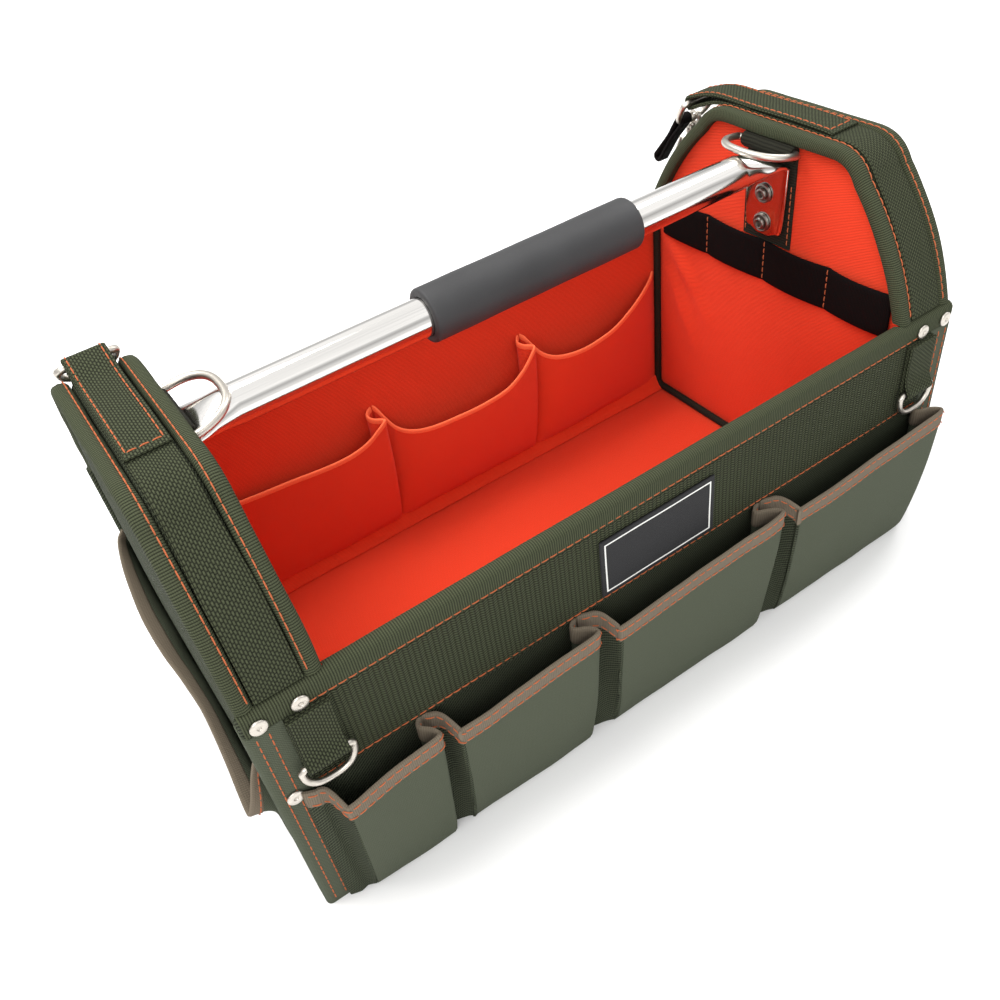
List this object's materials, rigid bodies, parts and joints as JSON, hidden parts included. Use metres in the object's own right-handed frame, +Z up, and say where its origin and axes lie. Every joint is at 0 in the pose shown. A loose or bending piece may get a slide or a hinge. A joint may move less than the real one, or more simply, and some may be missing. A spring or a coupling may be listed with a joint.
{
  "type": "open top tool tote",
  "caption": "Open tool tote: stiff cloth box with padded end panels, a metal tube handle with foam grip, bellows pockets inside and out, D-rings and a snap hook.",
  "frame": {"origin": "middle of the whole tote, on the surface that it stands on", "axes": "+X along the length towards the end with the hook, +Y towards the back, +Z up"},
  "size_m": [0.435, 0.2218, 0.2411],
  "materials": {
    "olive": "coarse woven nylon, olive green, matt",
    "webbing": "ribbed olive webbing with orange stitch lines",
    "dark_olive": "dark olive webbing and seam tape",
    "red": "fine twill lining, bright orange red",
    "lining_hem": "paler tape along the lining pockets",
    "hem": "taupe tape with two rows of stitching along the outside pockets",
    "thread": "thick orange sewing thread",
    "steel": "polished steel tube",
    "nickel": "nickel plated steel",
    "foam": "matt dark grey foam",
    "black": "black woven elastic and cord"
  },
  "bodies": {
    "tote": {"base_panel": "olive", "front_wall": "olive", "back_wall": "olive", "left_end_panel": "olive", "right_end_panel": "olive", "left_corner_strip": "olive", "right_corner_strip": "olive", "front_pocket_1": "olive", "front_pocket_2": "olive", "front_pocket_3": "olive", "front_pocket_4": "olive", "left_outer_pocket": "olive", "front_binding": "webbing", "back_binding": "webbing", "left_inner_rim": "webbing", "left_outer_rim": "webbing", "right_inner_rim": "webbing", "right_outer_rim": "webbing", "left_strap": "webbing", "right_strap": "webbing", "front_band": "webbing", "left_front_tab": "webbing", "right_front_tab": "webbing", "left_patch": "dark_olive", "right_patch": "dark_olive", "left_piping": "dark_olive", "right_piping": "dark_olive", "floor_lining": "red", "front_lining": "red", "back_lining": "red", "left_end_lining": "red", "right_end_lining": "red", "left_inner_pocket": "red", "middle_inner_pocket": "red", "right_inner_pocket": "red", "handle_tube": "steel", "left_upper_tab_rivet": "nickel", "left_lower_tab_rivet": "nickel", "right_upper_tab_rivet": "nickel", "right_lower_tab_rivet": "nickel", "right_strap_ring": "nickel", "left_corner_rivet": "nickel", "right_corner_rivet": "nickel", "left_tab_rivet": "nickel", "right_tab_rivet": "nickel", "left_pocket_rivet": "nickel", "hook_eye": "nickel", "handle_grip": "foam", "tool_elastic": "black", "label": "black", "black_loop": "black"},
    "left_inner_ring": {"left_inner_ring": "nickel"},
    "right_inner_ring": {"right_inner_ring": "nickel"},
    "left_strap_ring": {"left_strap_ring": "nickel"},
    "left_front_ring": {"left_front_ring": "nickel"},
    "right_front_ring": {"right_front_ring": "nickel"},
    "hook": {"hook_body": "nickel"},
    "trigger": {"hook_trigger": "nickel"}
  },
  "joints": [
    {"name": "left_inner_ring_swing", "type": "hinge", "parent": "tote", "child": "left_inner_ring", "pos_m": [-0.16685, 0.00675, 0.2226], "axis": [0, -1, 0], "range_deg": [0, 35]},
    {"name": "right_inner_ring_swing", "type": "hinge", "parent": "tote", "child": "right_inner_ring", "pos_m": [0.17855, 0.00675, 0.2226], "axis": [0, 1, 0], "range_deg": [0, 35]},
    {"name": "left_strap_ring_swing", "type": "hinge", "parent": "tote", "child": "left_strap_ring", "pos_m": [-0.1849, 0.05175, 0.237], "axis": [1, 0, 0], "range_deg": [0, 110]},
    {"name": "left_front_ring_swing", "type": "hinge", "parent": "tote", "child": "left_front_ring", "pos_m": [-0.17915, -0.10035, 0.1104], "axis": [-1, 0, 0], "range_deg": [0, 150]},
    {"name": "right_front_ring_swing", "type": "hinge", "parent": "tote", "child": "right_front_ring", "pos_m": [0.19085, -0.10035, 0.1104], "axis": [-1, 0, 0], "range_deg": [0, 150]},
    {"name": "hook_swivel", "type": "hinge", "parent": "tote", "child": "hook", "pos_m": [0.2018, 0.08897, 0.21087], "axis": [0, -0.4068, 0.9135], "continuous": true},
    {"name": "trigger_slide", "type": "slide", "parent": "hook", "child": "trigger", "axis": [0, -0.4068, 0.9135], "range_m": [0, 0.0045], "stiffness_N_per_m": 200, "springref_m": -0.003}
  ]
}
